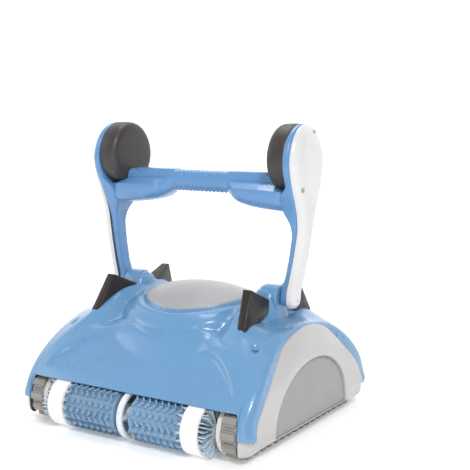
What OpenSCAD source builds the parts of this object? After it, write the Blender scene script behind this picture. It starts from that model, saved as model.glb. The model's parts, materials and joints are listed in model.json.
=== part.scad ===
// Robotic pool cleaner: tracked body, four driven brush halves, swinging float handle.
// Frame: X to the right, Y to the rear, Z up; origin on the ground under the middle.

/* [Overall] */
// Height of the float handle's top above the ground
handle_top = 449; // [440:1:460]
// Half the body's width over the side panels
half_width = 198; // [194:1:202]
// Half the shell's length at its lower corners
half_length = 193; // [190:1:196]
// Height of the shell's crown under the cap
crown_z = 202; // [200:1:203]
// Moulded wall of the shell and panels
wall = 3; // [2.5:0.1:3.5]

/* [Tracks and wheels] */
// Distance of a track wheel's axis from the middle
wheel_y = 155; // [154:0.5:156]
// Outer radius over the track's lugs, which is also the axis height
track_r = 39.5; // [39:0.5:40]
// Radius of a track wheel's drum
wheel_r = 31.9; // [31.5:0.1:32]
// Inner and outer face of the track
track_x = [155, 179];
// Pitch of the track's lugs
lug_pitch = 19.5; // [18:0.5:21]
// Height and radius of the drive pulley
pulley_z = 88; // [86:1:90]
pulley_r = 18.7; // [18:0.1:19]
// Radius of the guide wheel on the track's lower run
guide_r = 12; // [11:0.5:12.5]

/* [Brushes] */
// Radius over the brush's nubs
brush_r = 36.8; // [36.4:0.1:37]
// Teeth of the wheel's ring gear and of the brush's pinion, of module 1
ring_teeth = 56; // [56:4:56]
pinion_teeth = 16; // [16:4:16]
// Inner and outer end of a climbing ring
ring_x = [103.4, 129.8];

/* [Cap] */
// Radius of the grey cap
cap_r = 87.5; // [86:0.5:89]
// Thickness of the cap's plate
cap_t = 3.2; // [2.5:0.1:3.6]

/* [Handle] */
// Height of the handle's pivot axis
pivot_z = 192; // [190:1:194]
// Lower and upper face of the grip bar
bar_z = [343.5, 376];
// Half the depth of the grip bar
bar_y = 17; // [15:1:18]
// Radius of the pivot pins
pin_r = 6; // [5:0.5:7]
// Travel of the lock buttons
button_travel = 3; // [2:0.5:4]

/* [Hidden] */
$fn = 64;

shell_blue = [0.40, 0.63, 0.87];
panel_grey = [0.80, 0.80, 0.80];
inset_grey = [0.66, 0.66, 0.67];
dark_rubber = [0.25, 0.22, 0.21];
track_grey = [0.52, 0.50, 0.48];
white = [0.95, 0.95, 0.95];
steel = [0.75, 0.76, 0.78];
motor_grey = [0.35, 0.36, 0.38];

wheel_z = track_r;
gear_module = 1;
brush_z = brush_r + 0.2;
mesh_r = (ring_teeth - pinion_teeth) * gear_module / 2;   // distance between gear axes
mesh_tilt = asin((wheel_z - brush_z) / mesh_r);
brush_y = wheel_y + mesh_r * cos(mesh_tilt);
band_r = wheel_r + 0.3;      // inner radius of the track's band on a wheel
band = 3.3;                  // thickness of the band
fit = 0.05;                  // radial clearance of a running fit
gap = 0.3;                   // clearance between faces that pass each other
wall_x = [143, 147];         // the chassis side walls
tooth = 1.2;                 // tooth thickness at the pitch circle
journal_r = 9;               // brush journal in the chassis wall
stub_r = 5;                  // wheel stub axle
bracket_pin_r = 6;           // centre pin that carries the brushes' inner ends
shaft_r = 4;                 // drive shaft
shell_foot = 36;             // height of the shell's lower corners
flank_z = 162;               // top of the flanks' arch
crown_bend = 0.0038;         // the crown drops by this times y squared
straight_y = 150;            // and runs straight beyond this distance
opening_z = 71.5;            // height of the shell's lip over a brush
opening_x = 174.6;           // half the width of that opening
screw_y = 113;               // shell screws
screw_x = 161;
arm_x = 141;                 // inner face of an arm at its pivot
boss_r = 20;                 // pivot boss on the shell
boss_in = 112;               // inner end of the boss
button_r = 8;
lid_x = 132;
lid_y = 120;
lid_z = [13, 17];
flap_y = 52;                 // hinge line of an inlet flap
gland_y = 128;
gland_r = 4.1;               // cable bore
gland_z = [108, 152];

// Turns an outline drawn in (Y, Z) into a slab between two values of X.
module slab_x(x0, x1) {
    translate([x0, 0, 0]) rotate([90, 0, 90]) linear_extrude(x1 - x0) children();
}

// Turns an outline drawn in (X, Z) into a slab between two values of Y.
module slab_y(y0, y1) {
    translate([0, y1, 0]) rotate([90, 0, 0]) linear_extrude(y1 - y0) children();
}

module rod_x(r, x0, x1, y = 0, z = 0) {
    translate([x0, y, z]) rotate([0, 90, 0]) cylinder(r = r, h = x1 - x0);
}

module block(lo, hi) {
    translate(lo) cube(hi - lo);
}

module both_sides() {
    children();
    mirror([1, 0, 0]) children();
}

module both_ends() {
    children();
    mirror([0, 1, 0]) children();
}

module four_corners() {
    both_sides() both_ends() children();
}

// Places a piece drawn at the front right in another corner: side 1 right, -1 left; end 1 front.
module corner(side, end) {
    scale_x = side > 0 ? [0, 0, 0] : [1, 0, 0];
    scale_y = end > 0 ? [0, 0, 0] : [0, 1, 0];
    mirror(scale_x) mirror(scale_y) children();
}

// ---- Body form ------------------------------------------------------------------------------

// Height of an arch of the given crown and sharpness at the distance y from the middle.
function arch(y, length, foot, crown, p, q) =
    foot + (crown - foot) * pow(max(0, 1 - pow(abs(y) / length, p)), q);

ARCH_STEPS = 28;
function arch_outline(length, foot, crown, p, q) = concat(
    [for (i = [0 : ARCH_STEPS])
        let (y = -length * cos(180 * i / ARCH_STEPS)) [y, arch(y, length, foot, crown, p, q)]],
    [[length, 0], [-length, 0]]);

// Flanks: the lower, sharper arch that carries the side panels.
module flank_side(in) {
    polygon(arch_outline(half_length - in, shell_foot, flank_z - in, 1.5, 0.54));
}

// Middle: a parabola under the cap that runs out straight to the lips over the brushes.
function crown_height(y) = crown_z - crown_bend * pow(min(abs(y), straight_y), 2)
    - 2 * crown_bend * straight_y * 0.947 * max(0, abs(y) - straight_y);

module crown_side(in) {
    end = half_length - 0.5 - in;
    polygon(concat([for (i = [-ARCH_STEPS : ARCH_STEPS])
        let (y = end * i / ARCH_STEPS) [y, crown_height(y) - in]], [[end, 0], [-end, 0]]));
}

FLANK_FRONT = [[0, 0], [half_width, 0], [half_width, 40], [half_width - 1, 90],
    [half_width - 6, 122], [half_width - 16, 148], [half_width - 34, 164], [130, 178], [0, 178]];
CROWN_FRONT = [[0, 0], [opening_x, 0], [opening_x, opening_z], [150, 125], [132, 165], [118, 189],
    [98, 203], [0, 203]];

module half_front(points, in) {
    intersection() {
        polygon([for (p = points) [max(0, p[0] - in), p[1]]]);
        square([400, 400]);
    }
}

module both_half(points, in) {
    half_front(points, in);
    mirror([1, 0]) half_front(points, in);
}

module flank_form(in) {
    intersection() {
        slab_x(-half_width, half_width) flank_side(in);
        slab_y(-half_length, half_length) both_half(FLANK_FRONT, in);
    }
}

module body_form(in) {
    difference() {
        union() {
            flank_form(in);
            intersection() {
                slab_x(-half_width, half_width) crown_side(in);
                slab_y(-half_length, half_length) both_half(CROWN_FRONT, in);
            }
        }
        // finger recesses in front of the lock buttons
        both_sides() rod_x(13 + in, 100 - in, boss_in + 1, 0, pivot_z);
    }
}

// Outline of a side panel in (Y, Z).
module panel_outline(grow) {
    polygon(concat(
        [for (i = [0 : ARCH_STEPS])
            let (y = -(174 + grow) * cos(180 * i / ARCH_STEPS))
            [y, arch(y, 174 + grow, 38, 154 + grow, 1.55, 0.55)]],
        [[174 + grow, 30], [150, 18 - grow], [-150, 18 - grow], [-174 - grow, 30]]));
}

module inset_form(grow) {
    intersection() {
        slab_x(180, 210) polygon(concat(
            [for (i = [0 : 24]) [-(115 + grow) * cos(7.5 * i), 24 + (86 + grow) * sin(7.5 * i)]],
            [[115 + grow, 24 - grow], [-115 - grow, 24 - grow]]));
        block([190 - grow, -150, 0], [194, 150, 200]);
    }
}

// ---- Shell ----------------------------------------------------------------------------------

module shell_screw_place() {
    four_corners() translate([screw_x, -screw_y, 0]) children();
}

module pivot_boss() {
    both_sides() {
        rod_x(boss_r, boss_in, arm_x - gap, 0, pivot_z);
        block([boss_in + 2, -14, 150], [arm_x - gap - 2, 14, pivot_z]);
    }
}

module top_shell() {
    color(shell_blue) difference() {
        union() {
            difference() {
                body_form(0);
                body_form(wall);
            }
            intersection() {
                body_form(0);
                union() {
                    shell_screw_place() translate([0, 0, 108]) cylinder(r = 7, h = 60);
                    both_sides() block([boss_in + 2, -14, 150], [arm_x - gap - 2, 14, 178]);
                }
            }
            pivot_boss();
        }
        // brush openings, front and rear, with room for the tracks' corners, and the open underside
        both_ends() slab_y(-half_length - 5, -90) both_half([[0, -1], [183, -1], [182, shell_foot],
            [180, 60], [180, 77], [opening_x, opening_z], [0, opening_z]], 0);
        block([-half_width - 1, -150, -1], [half_width + 1, 150, 20]);
        block([-half_width - 1, -half_length - 5, -1], [half_width + 1, half_length + 5, shell_foot]);
        // room for the side panels
        both_sides() slab_x(150, 210) panel_outline(0.4);
        // pivot pin and lock button bores
        both_sides() {
            rod_x(pin_r + fit / 2, boss_in, arm_x, 0, pivot_z);
            rod_x(button_r + fit, boss_in - 1, boss_in + 12, 0, pivot_z);
        }
        // screw recesses
        shell_screw_place() {
            cylinder(r = 2.2, h = 200);
            translate([0, 0, 127]) cylinder(r = 5, h = 60);
        }
        // outlet and cable gland
        cylinder(r = 64, h = 300);
        translate([0, gland_y, 0]) cylinder(r = 9.2, h = 300);
    }
}

module side_panel() {
    color(panel_grey) difference() {
        intersection() {
            difference() {
                flank_form(0);
                flank_form(7.5);
            }
            slab_x(150, 210) panel_outline(0);
        }
        inset_form(0.2);
        panel_screw_place() {
            cylinder(r = 2.2, h = 60, center = true);
            translate([0, 0, -3]) cylinder(r = 4.3, h = 20);
        }
    }
}

module panel_screw_place() {
    for (y = [-60, 60]) translate([196, y, 107]) rotate([0, 90, 0]) children();
}

module side_inset() {
    color(inset_grey) inset_form(0);
}

// A fin's ridge leans back from its foot to its apex; its tail reaches the pivot boss.
FIN_FOOT = [132, -100, 160];
FIN_APEX = [122.5, -71, 209];
FIN_TAIL = [117.5, -22, 190];

module fin() {
    color(dark_rubber) difference() {
        hull() {
            translate(FIN_FOOT) sphere(r = 4.5, $fn = 20);
            translate(FIN_APEX) sphere(r = 3.5, $fn = 20);
            translate(FIN_TAIL) sphere(r = 2.5, $fn = 20);
            translate([FIN_FOOT[0] - 16, FIN_FOOT[1] + 14, 140]) cylinder(r = 3, h = 10, $fn = 20);
            translate([FIN_FOOT[0] + 4, FIN_FOOT[1] + 30, 140]) cylinder(r = 3, h = 10, $fn = 20);
            translate([FIN_TAIL[0], FIN_TAIL[1], 140]) cylinder(r = 3, h = 10, $fn = 20);
        }
        body_form(-0.2);
        rod_x(boss_r + gap, boss_in - 1, arm_x, 0, pivot_z);
    }
}

// ---- Chassis --------------------------------------------------------------------------------

module wall_outline() {
    polygon([[-158, 13], [158, 13], [178, 26], [178, 50], [160, 66], [124, 107.6],
        [-124, 107.6], [-160, 66], [-178, 50], [-178, 26]]);
    for (s = [-1, 1]) translate([s * brush_y, brush_z]) circle(r = journal_r + 4);
}

module chassis() {
    color(panel_grey * 0.9) {
        difference() {
            union() {
                both_sides() {
                    slab_x(wall_x[0], wall_x[1]) wall_outline();
                    // stub axles of the wheels and of the guide wheel
                    both_ends() rod_x(stub_r, wall_x[1], track_x[1], -wheel_y, wheel_z);
                    rod_x(3, wall_x[1], track_x[1] - 4, -70, guide_z());
                    // shelf that the motor housing stands on
                    block([104, -40, 72], [wall_x[0], 40, 76]);
                    // ears under the shell's screws
                    both_ends() block([wall_x[1], -screw_y - 8, 100], [screw_x + 8, -screw_y + 8, 107.6]);
                }
                // cross walls behind the brushes, and the frame round the lid
                both_ends() {
                    block([-wall_x[0], -128, lid_z[0]], [wall_x[0], -124, 100]);
                    block([-wall_x[0], -124, lid_z[0]], [wall_x[0], -lid_y - 1, lid_z[1]]);
                }
                both_sides() block([lid_x + 1, -124, lid_z[0]], [wall_x[0], 124, lid_z[1]]);
            }
            both_sides() {
                both_ends() rod_x(journal_r + fit, 140, 150, -brush_y, brush_z);
                rod_x(shaft_r + fit, 140, 150, 0, pulley_z);
            }
            shell_screw_place() translate([0, 0, 90]) cylinder(r = 2.2, h = 30);
        }
    }
}

function guide_z() = wheel_z - band_r + gap + guide_r;

// ---- Motor unit -----------------------------------------------------------------------------

module motor_housing() {
    color(motor_grey) difference() {
        union() {
            block([-100, -48, 76], [100, 48, 138]);
            block([-130, -36, 76], [130, 36, 80]);
        }
        block([-97, -45, 79], [97, 45, 140]);
        rod_x(shaft_r + fit, -110, 110, 0, pulley_z);
    }
}

module motor_housing_lid() {
    color(motor_grey) difference() {
        union() {
            block([-100, -48, 138.8], [100, 48, 142]);
            block([-96.6, -44.6, 135], [96.6, 44.6, 138.8]);
        }
        cylinder(r = 3 + fit, h = 300);
    }
}

module seals() {
    color(dark_rubber) {
        difference() {
            block([-100, -48, 138.05], [100, 48, 138.75]);
            block([-97, -45, 137], [97, 45, 140]);
        }
        both_sides() difference() {
            rod_x(7.6, 100.2, 103.2, 0, pulley_z);
            rod_x(shaft_r + fit, 100, 104, 0, pulley_z);
        }
        difference() {
            translate([0, 0, 142.2]) cylinder(r = 8, h = 2.4);
            cylinder(r = 3 + fit, h = 300);
        }
    }
}

module pump_motor() {
    color(steel) difference() {
        translate([0, 0, 79.2]) cylinder(r = 23, h = 52);
        translate([0, 0, 118]) cylinder(r = 3 + fit, h = 20);
    }
}

module drive_motors() {
    color(steel) both_sides() difference() {
        union() {
            rod_x(8.6, 30, 92, 0, pulley_z);
            block([40, -8, 79.2], [80, 8, 118]);
        }
        rod_x(shaft_r + fit, 70, 100, 0, pulley_z);
    }
}

module control_board() {
    color([0.15, 0.40, 0.22]) {
        block([-70, 30, 84], [70, 31.6, 130]);
    }
    color([0.1, 0.1, 0.1]) {
        block([-40, 31.6, 96], [-10, 36, 112]);
        block([15, 31.6, 92], [50, 38, 122]);
    }
}

module cable_gland() {
    color(dark_rubber) translate([0, gland_y, 0]) difference() {
        union() {
            translate([0, 0, gland_z[0]]) cylinder(r = 9, h = gland_z[1] - gland_z[0]);
            translate([0, 0, gland_z[0]]) cylinder(r = 14, h = 6);
        }
        translate([0, 0, 100]) cylinder(r = gland_r, h = 100);
    }
}

// ---- Outlet ---------------------------------------------------------------------------------

GRILLE_Z = [165, 183];       // the grille's ring; its spokes fill the upper part

module outlet_grille() {
    color(shell_blue * 0.8) {
        difference() {
            translate([0, 0, GRILLE_Z[0]]) cylinder(r = 63, h = GRILLE_Z[1] - GRILLE_Z[0]);
            translate([0, 0, GRILLE_Z[0] - 1]) cylinder(r = 60, h = 20);
        }
        difference() {
            union() {
                for (a = [0 : 30 : 150])
                    rotate([0, 0, a]) block([-61, -1.2, 176], [61, 1.2, GRILLE_Z[1]]);
                translate([0, 0, 176]) cylinder(r = 12, h = GRILLE_Z[1] - 176);
            }
            translate([0, 0, 170]) cylinder(r = 3, h = 40);
        }
    }
}

module outlet_cap() {
    color([0.76, 0.76, 0.76]) {
        difference() {
            intersection() {
                slab_x(-cap_r, cap_r) crown_side(-gap - cap_t);
                cylinder(r = cap_r, h = 300, $fn = 128);
            }
            slab_x(-cap_r - 1, cap_r + 1) crown_side(-gap);
        }
        translate([0, 0, GRILLE_Z[1] + 0.2]) cylinder(r = 10, h = crown_z + 1 - GRILLE_Z[1]);
    }
}

// ---- Track, wheels and brushes --------------------------------------------------------------

// The track's loop, grown outwards from the wheels by out.
module loop(out) {
    hull() {
        for (s = [-1, 1]) translate([s * wheel_y, wheel_z]) circle(r = wheel_r + out, $fn = 48);
        translate([0, pulley_z]) circle(r = pulley_r + out, $fn = 48);
    }
}

run_rise = atan2(pulley_z - wheel_z, wheel_y) +
    asin((pulley_r - wheel_r) / norm([wheel_y, pulley_z - wheel_z]));
run_length = sqrt(pow(wheel_y, 2) + pow(pulley_z - wheel_z, 2) - pow(wheel_r - pulley_r, 2));
lug_h = track_r - wheel_r - gap - band;

module lug() {
    translate([-4, -1.2]) square([8, lug_h + 1.2]);
}

module lugs_2d() {
    out = wheel_r + gap + band;
    // lower run, with one lug at the middle
    for (y = [-7 : 7]) translate([y * lug_pitch, wheel_z - out]) rotate(180) lug();
    // round the wheels, one lug about every pitch
    for (s = [-1, 1], i = [0 : 5]) {
        a = 12 + i * 27;
        translate([s * wheel_y, wheel_z])
            rotate(s * (a - 90)) translate([s * out, 0]) rotate(-90 * s) lug();
    }
    // upper runs
    for (s = [-1, 1], i = [0 : 6]) {
        t = (i + 0.5) / 7;
        foot_r = wheel_r + (pulley_r - wheel_r) * t + gap + band;
        translate([s * wheel_y * (1 - t), wheel_z + (pulley_z - wheel_z) * t])
            rotate(-s * run_rise) translate([0, foot_r]) lug();
    }
}

module track() {
    color(track_grey) slab_x(track_x[0], track_x[1]) {
        difference() {
            union() {
                loop(gap + band);
                lugs_2d();
            }
            loop(gap);
        }
    }
}

// Gear outline of trapezoid teeth; the first tooth points along +X.
module gear_2d(teeth, tip_add, root_sub, wide) {
    pitch_r = teeth * gear_module / 2;
    union() {
        circle(r = pitch_r - root_sub);
        for (i = [0 : teeth - 1]) rotate(i * 360 / teeth)
            polygon([[pitch_r - root_sub - 0.4, -wide * 0.72], [pitch_r, -wide / 2],
                [pitch_r + tip_add, -wide * 0.3], [pitch_r + tip_add, wide * 0.3],
                [pitch_r, wide / 2], [pitch_r - root_sub - 0.4, wide * 0.72]]);
    }
}

// The room cut for the ring gear: a gear form whose teeth are the ring's tooth spaces.
module ring_gear_space() {
    space = PI * gear_module - tooth;
    gear_2d(ring_teeth, 1.1, 0.8, space);
}

module wheel() {
    face = [148, track_x[1] - 0.5];
    translate([0, -wheel_y, wheel_z]) color(white) difference() {
        union() {
            rod_x(wheel_r, track_x[0], face[1]);
            rod_x(36, face[0], track_x[0] - gap);
            rod_x(31, track_x[0] - 1, track_x[0] + 1);
        }
        // hollow drum, ring gear on the inner side, spoked web on the outer side
        slab_x(face[0] - 1, face[0] + 12) rotate(180 + mesh_tilt) ring_gear_space();
        difference() {
            rod_x(28, face[0] + 11, face[1] - 6);
            rod_x(8.2, face[0], face[1]);
        }
        for (a = [0 : 60 : 300]) rotate([a, 0, 0]) rod_x(6, face[1] - 8, face[1] + 1, 0, 19);
        rod_x(stub_r + fit, face[0] - 1, face[1] + 1);
    }
    // hub inside the ring gear
    color(white) difference() {
        rod_x(7.4, face[0] + 0.5, face[0] + 13, -wheel_y, wheel_z);
        rod_x(stub_r + fit, face[0] - 1, face[1], -wheel_y, wheel_z);
    }
}

sleeve_x = [8, 102.8];

module brush_core() {
    color(white) translate([0, -brush_y, brush_z]) difference() {
        union() {
            rod_x(14, sleeve_x[0], 131);
            // spoked end between the climbing ring and the chassis wall
            for (a = [0 : 22.5 : 337.5]) rotate([a, 0, 0])
                block([130.2, -0.9, 8], [141.5, 0.9, brush_r - 3]);
            rod_x(12, 130, 142.4);
            rod_x(journal_r, 142, wall_x[1] + 0.8);
            slab_x(wall_x[1] + 0.7, wall_x[1] + 11) rotate(180 + mesh_tilt) gear_2d(pinion_teeth, 0.8, 1.0, tooth);
        }
        rod_x(bracket_pin_r + fit, sleeve_x[0] - 1, sleeve_x[0] + 30);
    }
}

module brush_sleeve() {
    color([0.50, 0.70, 0.88]) translate([0, -brush_y, brush_z]) difference() {
        union() {
            rod_x(brush_r - 6, sleeve_x[0], sleeve_x[1]);
            for (a = [0 : 30 : 330]) rotate([a, 0, 0])
                block([sleeve_x[0] + 2, -2, brush_r - 7], [sleeve_x[1] - 2, 2, brush_r - 0.1]);
        }
        rod_x(14.05, 0, 140);
    }
}

module climbing_ring() {
    color(white) translate([0, -brush_y, brush_z]) difference() {
        rod_x(brush_r, ring_x[0], ring_x[1]);
        rod_x(14.05, 90, 140);
    }
}

module brush_bracket() {
    color(white) translate([0, -brush_y, brush_z]) {
        difference() {
            rod_x(32, -4.5, 4.5);
            rod_x(25, -5, 5);
            // the guard hoop is open towards the body, above the bracket's arm
            block([-5, 12, 6], [5, 40, 40]);
        }
        rod_x(bracket_pin_r, -36, 36);
        rod_x(11, -6, 6);
        block([-3.5, 5, -3], [3.5, brush_y - 128.05, 5]);
        block([-3.5, -30, -3], [3.5, -8, 3]);
    }
}

module drive_pulley() {
    color(white) {
        rod_x(pulley_r, track_x[0] + 1, track_x[1] - 2, 0, pulley_z);
        rod_x(shaft_r, 72, track_x[0] + 2, 0, pulley_z);
    }
}

module guide_wheel() {
    color(white) difference() {
        rod_x(guide_r, track_x[0] + 1, track_x[1] - 5, -70, guide_z());
        rod_x(3 + fit, 150, 190, -70, guide_z());
    }
}

module impeller() {
    color([0.2, 0.2, 0.22]) {
        translate([0, 0, 145.2]) cylinder(r = 9, h = 14);
        translate([0, 0, 120]) cylinder(r = 3, h = 30);
        for (a = [0 : 72 : 288]) rotate([0, 0, a])
            translate([7, -1, 146]) rotate([25, 0, 0]) cube([40, 2, 12]);
    }
}

// ---- Handle ---------------------------------------------------------------------------------

// Half the depth of an arm or ear at the height z: a slim arm that widens into a round ear.
ear_z = 391;
ear_r = 58;
function arm_half(z) =
    z > ear_z ? ear_r * sqrt(max(0, 1 - pow((z - ear_z) / (handle_top - ear_z), 2)))
    : 24 + 5 * (z - pivot_z) / (300 - pivot_z)
        + (z > 300 ? (ear_r - 24 - 5 * (z - pivot_z) / (300 - pivot_z))
            * pow(sin(90 * (z - 300) / (ear_z - 300)), 1.7) : 0);

EAR_STEPS = 16;
function arm_edge(in) = concat(
    [for (a = [0 : 15 : 75]) [(24 - in) * sin(a), pivot_z - (24 - in) * cos(a)]],
    [for (z = [pivot_z : 18 : 372]) [arm_half(z) - in, z]],
    [for (i = [0 : EAR_STEPS])
        let (a = 90 * i / EAR_STEPS)
        [(ear_r - in) * cos(a), ear_z + (handle_top - ear_z - in) * sin(a)]]);

module arm_outline(in) {
    half = arm_edge(in);
    polygon(concat(half, [for (i = [len(half) - 1 : -1 : 0]) [-half[i][0], half[i][1]]]));
}

// Outer face of the blue frame, in (X, Z), from the pivot to the ear's top.
FRAME_OUT = [[154, 160], [154, 204], [158.5, 235], [164.5, 268], [170, 300], [173, 333],
    [173.5, 392], [172.5, 460]];
// Inner face of an arm below the grip bar.
FRAME_IN = [[arm_x, 160], [arm_x, 205], [146.5, 250], [149, 290], [148, 308]];
cover_t = 9.3;

module arm_section() {
    polygon(concat(FRAME_IN, [[144, 321], [144, 345], [160, 345], [160, 460]],
        [for (i = [len(FRAME_OUT) - 1 : -1 : 0]) FRAME_OUT[i]]));
}

module gusset() {
    difference() {
        polygon([[54, bar_z[0] - 0.5], [54, bar_z[1]], [160, bar_z[1]], [160, 321], [144, 321]]);
        // the underside sweeps up to the grip in an arc
        polygon(concat([[40, 300], [144, 321]], [for (i = [0 : 8])
            [144 - 90 * i / 8, 321 + 22.5 * pow(i / 8, 1.8)]], [[40, bar_z[0]]]));
    }
}

module handle_frame() {
    color(shell_blue) difference() {
        union() {
            both_sides() {
                intersection() {
                    slab_y(-ear_r, ear_r) arm_section();
                    slab_x(130, 190) arm_outline(0);
                }
                slab_y(-bar_y, bar_y) gusset();
            }
            intersection() {
                block([-100, -bar_y, bar_z[0]], [100, bar_y, bar_z[1]]);
                rod_x(21, -100, 100, 0, (bar_z[0] + bar_z[1]) / 2);
            }
        }
        both_sides() {
            rod_x(pin_r + fit, 130, 180, 0, pivot_z);
            rod_x(9.5, 151.4, 180, 0, pivot_z);
            handle_screw_place() cylinder(r = 2.1, h = 60, center = true);
        }
    }
}

module handle_screw_place() {
    translate([180, 0, 355]) rotate([0, 90, 0]) children();
    translate([180, 0, 436]) rotate([0, 90, 0]) children();
}

module arm_cover() {
    color(white) difference() {
        intersection() {
            slab_y(-ear_r, ear_r) polygon(concat(
                [for (p = FRAME_OUT) [p[0] + 0.1, p[1]]],
                [for (i = [len(FRAME_OUT) - 1 : -1 : 0]) [FRAME_OUT[i][0] + cover_t, FRAME_OUT[i][1]]]));
            slab_x(130, 200) arm_outline(2.5);
        }
        handle_screw_place() {
            cylinder(r = 2.1, h = 60, center = true);
            translate([0, 0, -1]) cylinder(r = 4.4, h = 20);
        }
    }
}

module handle_screws() {
    color(steel) both_sides() handle_screw_place() difference() {
        union() {
            translate([0, 0, -18]) cylinder(r = 2, h = 17.2);
            translate([0, 0, -0.9]) cylinder(r = 4, h = 2);
        }
        cylinder(r = 1.6, h = 4, $fn = 6);
    }
}

module float_pad() {
    pad_low = 351;
    color(dark_rubber) difference() {
        intersection() {
            slab_x(132, 159.8) arm_outline(10);
            block([130, -60, pad_low], [170, 60, 448]);
        }
        block([120, -bar_y - 0.4, 320], [170, bar_y + 0.4, bar_z[1] + 0.4]);
        block([120, -70, 320], [144.2, 70, 345.2]);
    }
}

module pivot_pins() {
    color(steel) both_sides() {
        rod_x(pin_r, boss_in + 12.2, 151.8, 0, pivot_z);
        rod_x(9, 151.7, 153.6, 0, pivot_z);
    }
}

module lock_button() {
    color(dark_rubber) rod_x(button_r, boss_in - 5, boss_in + 7, 0, pivot_z);
}

// ---- Bottom lid and filter ------------------------------------------------------------------

module flap_window(grow) {
    block([-90 - grow, -86 - grow, 0], [90 + grow, -flap_y - 4 + grow, 60]);
}

module bottom_lid() {
    color(panel_grey * 0.85) difference() {
        block([-lid_x, -lid_y, lid_z[0]], [lid_x, lid_y, lid_z[1]]);
        both_ends() flap_window(0);
    }
}

module filter_frame() {
    color(white) difference() {
        block([-128, -116, lid_z[1] + 0.1], [128, 116, 66]);
        block([-122, -110, 0], [122, 110, 90]);
        for (s = [-1, 1]) {
            block([-114, s * 113 - 10, 24], [114, s * 113 + 10, 60]);
            block([s * 125 - 10, -102, 24], [s * 125 + 10, 102, 60]);
        }
    }
}

module filter_bag() {
    color([0.85, 0.86, 0.84]) difference() {
        block([-121.6, -109.6, lid_z[1] + 0.2], [121.6, 109.6, 66]);
        both_ends() block([-97, -96, 0], [97, -flap_y + 6, 56]);
    }
}

module inlet_flap() {
    color(dark_rubber) {
        block([-93, -90, lid_z[1] + 0.3], [93, -flap_y, lid_z[1] + 2.3]);
        rod_x(1, -93, 93, -flap_y, lid_z[1] + 1.3);
    }
}

module body_screws() {
    color(steel) {
        shell_screw_place() difference() {
            union() {
                translate([0, 0, 100]) cylinder(r = 2, h = 27.2);
                translate([0, 0, 127.1]) cylinder(r = 4.4, h = 2.4);
            }
            translate([0, 0, 128]) cylinder(r = 1.8, h = 4, $fn = 6);
        }
        both_sides() panel_screw_place() {
            translate([0, 0, -12]) cylinder(r = 2, h = 9.2);
            translate([0, 0, -2.9]) cylinder(r = 4, h = 2);
        }
    }
}

top_shell();
chassis();
corner(-1, 1) side_panel();  // side_panel_left
side_panel();  // side_panel_right
corner(-1, 1) side_inset();  // side_inset_left
side_inset();  // side_inset_right
corner(-1, 1) fin();  // fin_front_left
fin();  // fin_front_right
corner(-1, -1) fin();  // fin_rear_left
corner(1, -1) fin();  // fin_rear_right
outlet_cap();
outlet_grille();
motor_housing();
motor_housing_lid();
seals();
pump_motor();
drive_motors();
control_board();
cable_gland();
corner(-1, 1) track();  // track_left
track();  // track_right
pivot_pins();
body_screws();
brush_bracket();  // brush_bracket_front
corner(1, -1) brush_bracket();  // brush_bracket_rear
corner(-1, 1) wheel();  // wheel_front_left
wheel();  // wheel_front_right
corner(-1, -1) wheel();  // wheel_rear_left
corner(1, -1) wheel();  // wheel_rear_right
corner(-1, 1) brush_core();  // brush_core_front_left
brush_core();  // brush_core_front_right
corner(-1, -1) brush_core();  // brush_core_rear_left
corner(1, -1) brush_core();  // brush_core_rear_right
corner(-1, 1) brush_sleeve();  // brush_front_left
brush_sleeve();  // brush_front_right
corner(-1, -1) brush_sleeve();  // brush_rear_left
corner(1, -1) brush_sleeve();  // brush_rear_right
corner(-1, 1) climbing_ring();  // climbing_ring_front_left
climbing_ring();  // climbing_ring_front_right
corner(-1, -1) climbing_ring();  // climbing_ring_rear_left
corner(1, -1) climbing_ring();  // climbing_ring_rear_right
corner(-1, 1) drive_pulley();  // drive_pulley_left
drive_pulley();  // drive_pulley_right
corner(-1, 1) guide_wheel();  // guide_wheel_left
guide_wheel();  // guide_wheel_right
impeller();
handle_frame();
corner(-1, 1) float_pad();  // float_pad_left
float_pad();  // float_pad_right
corner(-1, 1) arm_cover();  // arm_cover_left
arm_cover();  // arm_cover_right
handle_screws();
corner(-1, 1) lock_button();  // lock_button_left
lock_button();  // lock_button_right
bottom_lid();
filter_frame();
filter_bag();
inlet_flap();  // inlet_flap_front
corner(1, -1) inlet_flap();  // inlet_flap_rear
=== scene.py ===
"""Looks of the tracked pool cleaner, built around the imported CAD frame."""

import json
import math

import bmesh
import bpy
import numpy as np
from mathutils import Matrix, Vector


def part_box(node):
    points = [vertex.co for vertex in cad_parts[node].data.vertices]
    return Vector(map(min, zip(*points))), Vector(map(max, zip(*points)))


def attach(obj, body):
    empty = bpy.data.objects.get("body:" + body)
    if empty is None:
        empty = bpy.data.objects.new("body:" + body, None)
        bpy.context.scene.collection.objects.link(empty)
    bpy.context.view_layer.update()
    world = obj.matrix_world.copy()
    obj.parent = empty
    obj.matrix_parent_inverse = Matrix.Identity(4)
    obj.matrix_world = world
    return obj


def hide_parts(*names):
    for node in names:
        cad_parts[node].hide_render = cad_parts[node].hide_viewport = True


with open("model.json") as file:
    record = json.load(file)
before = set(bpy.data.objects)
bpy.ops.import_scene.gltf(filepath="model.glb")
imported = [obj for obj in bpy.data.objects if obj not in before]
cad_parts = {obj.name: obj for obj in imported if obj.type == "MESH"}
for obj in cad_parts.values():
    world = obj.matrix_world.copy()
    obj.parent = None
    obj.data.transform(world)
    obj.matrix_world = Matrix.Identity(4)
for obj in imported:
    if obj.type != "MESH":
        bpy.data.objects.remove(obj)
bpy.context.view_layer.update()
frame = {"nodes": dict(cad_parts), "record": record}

MM = 0.001
CORNERS = [(end, side) for end in ("front", "rear") for side in ("left", "right")]
SIDES = {"left": -1, "right": 1}
ENDS = {"front": -1, "rear": 1}

# ---- Driving sizes, millimetres ----


def box_mm(node):
    low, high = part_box(node)
    return np.array(low) / MM, np.array(high) / MM


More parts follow.
